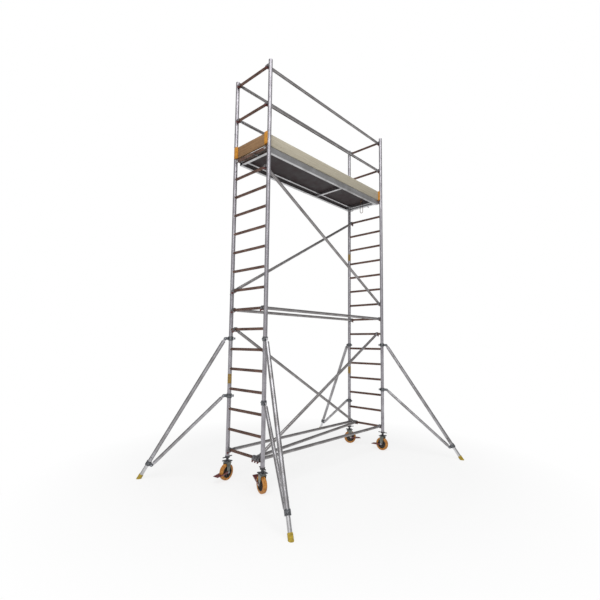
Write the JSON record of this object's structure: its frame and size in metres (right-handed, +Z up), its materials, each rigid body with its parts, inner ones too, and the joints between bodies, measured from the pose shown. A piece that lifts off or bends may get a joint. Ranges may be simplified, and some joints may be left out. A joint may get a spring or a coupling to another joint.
{
  "type": "mobile scaffold tower",
  "caption": "Narrow mobile aluminium scaffold tower with ladder end frames, hook-on braces, trapdoor platform, toe boards, braked castors and swing-out outriggers.",
  "frame": {"origin": "middle of the footprint of the outrigger feet, on the floor", "axes": "+Z up, +X along the platform towards the trapdoor end, +Y across it"},
  "size_m": [3.8224, 2.9173, 5.255],
  "materials": {
    "aluminium_tube": "mill-finish extruded tube",
    "rung_aluminium": "ribbed extruded rung, brown-toned",
    "cast_aluminium": "sand-cast, dull",
    "aluminium_beam": "mill-finish extrusion",
    "galvanised_steel": "galvanised",
    "zinc_plated_steel": "zinc plated",
    "pedal_steel": "red-brown paint",
    "cast_nut": "galvanised casting",
    "hub_plastic": "moulded nylon",
    "tyre_polyurethane": "cast polyurethane",
    "foot_rubber": "moulded rubber",
    "latch_plastic": "moulded nylon",
    "clip_plastic": "moulded",
    "deck_plywood": "phenolic film faced",
    "toe_board_timber": "planed softwood"
  },
  "bodies": {
    "tower": {"frame_stiles": "aluminium_tube", "frame_rungs": "rung_aluminium", "frame_spigots": "aluminium_tube", "frame_joint_pins": "galvanised_steel", "horizontal_braces": "aluminium_tube", "diagonal_braces": "aluminium_tube", "brace_claws": "cast_aluminium", "claw_latches": "latch_plastic", "platform_frame": "aluminium_beam", "deck_board": "deck_plywood", "toe_boards": "toe_board_timber", "toe_board_clips": "clip_plastic"},
    "trapdoor": {"hatch_panel": "deck_plywood"},
    "pull_ring": {"hatch_ring": "galvanised_steel"},
    "left_wind_lock": {"wind_lock_left": "galvanised_steel"},
    "right_wind_lock": {"wind_lock_right": "galvanised_steel"},
    "front_left_nut": {"levelling_nut_front_left": "cast_nut"},
    "front_left_spindle": {"castor_spindle_front_left": "zinc_plated_steel"},
    "front_left_fork": {"castor_fork_front_left": "zinc_plated_steel"},
    "front_left_wheel": {"castor_tyre_front_left": "tyre_polyurethane", "castor_hub_front_left": "hub_plastic"},
    "front_left_pedal": {"castor_pedal_front_left": "pedal_steel"},
    "front_left_outrigger": {"outrigger_tube_front_left": "aluminium_tube", "outrigger_strut_front_left": "aluminium_tube", "outrigger_clamps_front_left": "galvanised_steel"},
    "front_left_leg": {"outrigger_leg_front_left": "aluminium_tube", "outrigger_foot_front_left": "foot_rubber"},
    "back_left_nut": {"levelling_nut_back_left": "cast_nut"},
    "back_left_spindle": {"castor_spindle_back_left": "zinc_plated_steel"},
    "back_left_fork": {"castor_fork_back_left": "zinc_plated_steel"},
    "back_left_wheel": {"castor_tyre_back_left": "tyre_polyurethane", "castor_hub_back_left": "hub_plastic"},
    "back_left_pedal": {"castor_pedal_back_left": "pedal_steel"},
    "back_left_outrigger": {"outrigger_tube_back_left": "aluminium_tube", "outrigger_strut_back_left": "aluminium_tube", "outrigger_clamps_back_left": "galvanised_steel"},
    "back_left_leg": {"outrigger_leg_back_left": "aluminium_tube", "outrigger_foot_back_left": "foot_rubber"},
    "front_right_nut": {"levelling_nut_front_right": "cast_nut"},
    "front_right_spindle": {"castor_spindle_front_right": "zinc_plated_steel"},
    "front_right_fork": {"castor_fork_front_right": "zinc_plated_steel"},
    "front_right_wheel": {"castor_tyre_front_right": "tyre_polyurethane", "castor_hub_front_right": "hub_plastic"},
    "front_right_pedal": {"castor_pedal_front_right": "pedal_steel"},
    "front_right_outrigger": {"outrigger_tube_front_right": "aluminium_tube", "outrigger_strut_front_right": "aluminium_tube", "outrigger_clamps_front_right": "galvanised_steel"},
    "front_right_leg": {"outrigger_leg_front_right": "aluminium_tube", "outrigger_foot_front_right": "foot_rubber"},
    "back_right_nut": {"levelling_nut_back_right": "cast_nut"},
    "back_right_spindle": {"castor_spindle_back_right": "zinc_plated_steel"},
    "back_right_fork": {"castor_fork_back_right": "zinc_plated_steel"},
    "back_right_wheel": {"castor_tyre_back_right": "tyre_polyurethane", "castor_hub_back_right": "hub_plastic"},
    "back_right_pedal": {"castor_pedal_back_right": "pedal_steel"},
    "back_right_outrigger": {"outrigger_tube_back_right": "aluminium_tube", "outrigger_strut_back_right": "aluminium_tube", "outrigger_clamps_back_right": "galvanised_steel"},
    "back_right_leg": {"outrigger_leg_back_right": "aluminium_tube", "outrigger_foot_back_right": "foot_rubber"}
  },
  "joints": [
    {"name": "trapdoor_hinge", "type": "hinge", "parent": "tower", "child": "trapdoor", "pos_m": [0.47725, 0.03952, 4.16], "axis": [0, -1, 0], "range_deg": [0, 95]},
    {"name": "pull_ring_swing", "type": "hinge", "parent": "trapdoor", "child": "pull_ring", "pos_m": [1.20725, -0.04349, 4.1333], "axis": [0, 1, 0], "range_deg": [-55, 55]},
    {"name": "left_wind_lock_turn", "type": "hinge", "parent": "tower", "child": "left_wind_lock", "pos_m": [-1.09725, -0.07049, 4.0962], "axis": [1, 0, 0], "range_deg": [-90, 0]},
    {"name": "right_wind_lock_turn", "type": "hinge", "parent": "tower", "child": "right_wind_lock", "pos_m": [1.37875, -0.07049, 4.0962], "axis": [1, 0, 0], "range_deg": [-90, 0]},
    {"name": "front_left_nut_turn", "type": "hinge", "parent": "tower", "child": "front_left_nut", "pos_m": [-1.14275, -0.29308, 0.29], "axis": [0, 0, 1], "range_deg": [-9005, 1580]},
    {"name": "front_left_spindle_slide", "type": "slide", "parent": "tower", "child": "front_left_spindle", "axis": [0, 0, 1], "range_m": [-0.2, 0.035]},
    {"name": "front_left_castor_swivel", "type": "hinge", "parent": "front_left_spindle", "child": "front_left_fork", "pos_m": [-1.14275, -0.29308, 0.206], "axis": [0, 0, 1], "continuous": true},
    {"name": "front_left_wheel_roll", "type": "hinge", "parent": "front_left_fork", "child": "front_left_wheel", "pos_m": [-1.13964, -0.28149, 0.1], "axis": [-0.9659, 0.2588, 0], "continuous": true},
    {"name": "front_left_pedal_tip", "type": "hinge", "parent": "front_left_fork", "child": "front_left_pedal", "pos_m": [-1.13964, -0.28149, 0.1], "axis": [0.9659, -0.2588, 0], "range_deg": [-26, 0]},
    {"name": "front_left_outrigger_swing", "type": "hinge", "parent": "tower", "child": "front_left_outrigger", "pos_m": [-1.14275, -0.29308, 1.748], "axis": [0, 0, 1], "range_deg": [-40, 40]},
    {"name": "front_left_leg_slide", "type": "slide", "parent": "front_left_outrigger", "child": "front_left_leg", "axis": [-0.2432, -0.4535, -0.8574], "range_m": [-0.12, 0]},
    {"name": "back_left_nut_turn", "type": "hinge", "parent": "tower", "child": "back_left_nut", "pos_m": [-1.14275, 0.37211, 0.29], "axis": [0, 0, 1], "range_deg": [-9005, 1580]},
    {"name": "back_left_spindle_slide", "type": "slide", "parent": "tower", "child": "back_left_spindle", "axis": [0, 0, 1], "range_m": [-0.2, 0.035]},
    {"name": "back_left_castor_swivel", "type": "hinge", "parent": "back_left_spindle", "child": "back_left_fork", "pos_m": [-1.14275, 0.37211, 0.206], "axis": [0, 0, 1], "continuous": true},
    {"name": "back_left_wheel_roll", "type": "hinge", "parent": "back_left_fork", "child": "back_left_wheel", "pos_m": [-1.15463, 0.37045, 0.1], "axis": [0.1392, -0.9903, 0], "continuous": true},
    {"name": "back_left_pedal_tip", "type": "hinge", "parent": "back_left_fork", "child": "back_left_pedal", "pos_m": [-1.15463, 0.37045, 0.1], "axis": [-0.1392, 0.9903, 0], "range_deg": [0, 26]},
    {"name": "back_left_outrigger_swing", "type": "hinge", "parent": "tower", "child": "back_left_outrigger", "pos_m": [-1.14275, 0.37211, 1.754], "axis": [0, 0, 1], "range_deg": [-40, 40]},
    {"name": "back_left_leg_slide", "type": "slide", "parent": "back_left_outrigger", "child": "back_left_leg", "axis": [-0.3401, 0.3751, -0.8623], "range_m": [-0.12, 0]},
    {"name": "front_right_nut_turn", "type": "hinge", "parent": "tower", "child": "front_right_nut", "pos_m": [1.42425, -0.29308, 0.29], "axis": [0, 0, 1], "range_deg": [-9005, 1580]},
    {"name": "front_right_spindle_slide", "type": "slide", "parent": "tower", "child": "front_right_spindle", "axis": [0, 0, 1], "range_m": [-0.2, 0.035]},
    {"name": "front_right_castor_swivel", "type": "hinge", "parent": "front_right_spindle", "child": "front_right_fork", "pos_m": [1.42425, -0.29308, 0.206], "axis": [0, 0, 1], "continuous": true},
    {"name": "front_right_wheel_roll", "type": "hinge", "parent": "front_right_fork", "child": "front_right_wheel", "pos_m": [1.42383, -0.28109, 0.1], "axis": [-0.9994, -0.0349, 0], "continuous": true},
    {"name": "front_right_pedal_tip", "type": "hinge", "parent": "front_right_fork", "child": "front_right_pedal", "pos_m": [1.42383, -0.28109, 0.1], "axis": [0.9994, 0.0349, 0], "range_deg": [0, 26]},
    {"name": "front_right_outrigger_swing", "type": "hinge", "parent": "tower", "child": "front_right_outrigger", "pos_m": [1.42425, -0.29308, 1.686], "axis": [0, 0, 1], "range_deg": [-40, 40]},
    {"name": "front_right_leg_slide", "type": "slide", "parent": "front_right_outrigger", "child": "front_right_leg", "axis": [0.1692, -0.5268, -0.833], "range_m": [-0.12, 0]},
    {"name": "back_right_nut_turn", "type": "hinge", "parent": "tower", "child": "back_right_nut", "pos_m": [1.42425, 0.37211, 0.29], "axis": [0, 0, 1], "range_deg": [-9005, 1580]},
    {"name": "back_right_spindle_slide", "type": "slide", "parent": "tower", "child": "back_right_spindle", "axis": [0, 0, 1], "range_m": [-0.2, 0.035]},
    {"name": "back_right_castor_swivel", "type": "hinge", "parent": "back_right_spindle", "child": "back_right_fork", "pos_m": [1.42425, 0.37211, 0.206], "axis": [0, 0, 1], "continuous": true},
    {"name": "back_right_wheel_roll", "type": "hinge", "parent": "back_right_fork", "child": "back_right_wheel", "pos_m": [1.43384, 0.36489, 0.1], "axis": [0.6018, 0.7986, 0], "continuous": true},
    {"name": "back_right_pedal_tip", "type": "hinge", "parent": "back_right_fork", "child": "back_right_pedal", "pos_m": [1.43384, 0.36489, 0.1], "axis": [-0.6018, -0.7986, 0], "range_deg": [0, 26]},
    {"name": "back_right_outrigger_swing", "type": "hinge", "parent": "tower", "child": "back_right_outrigger", "pos_m": [1.42425, 0.37211, 1.68], "axis": [0, 0, 1], "range_deg": [-40, 40]},
    {"name": "back_right_leg_slide", "type": "slide", "parent": "back_right_outrigger", "child": "back_right_leg", "axis": [0.2156, 0.4959, -0.8412], "range_m": [-0.12, 0]}
  ],
  "couplings": [
    {"joint": "front_left_nut_turn", "follows": "front_left_spindle_slide", "rad_per_m": 785.4},
    {"joint": "back_left_nut_turn", "follows": "back_left_spindle_slide", "rad_per_m": 785.4},
    {"joint": "front_right_nut_turn", "follows": "front_right_spindle_slide", "rad_per_m": 785.4},
    {"joint": "back_right_nut_turn", "follows": "back_right_spindle_slide", "rad_per_m": 785.4}
  ]
}
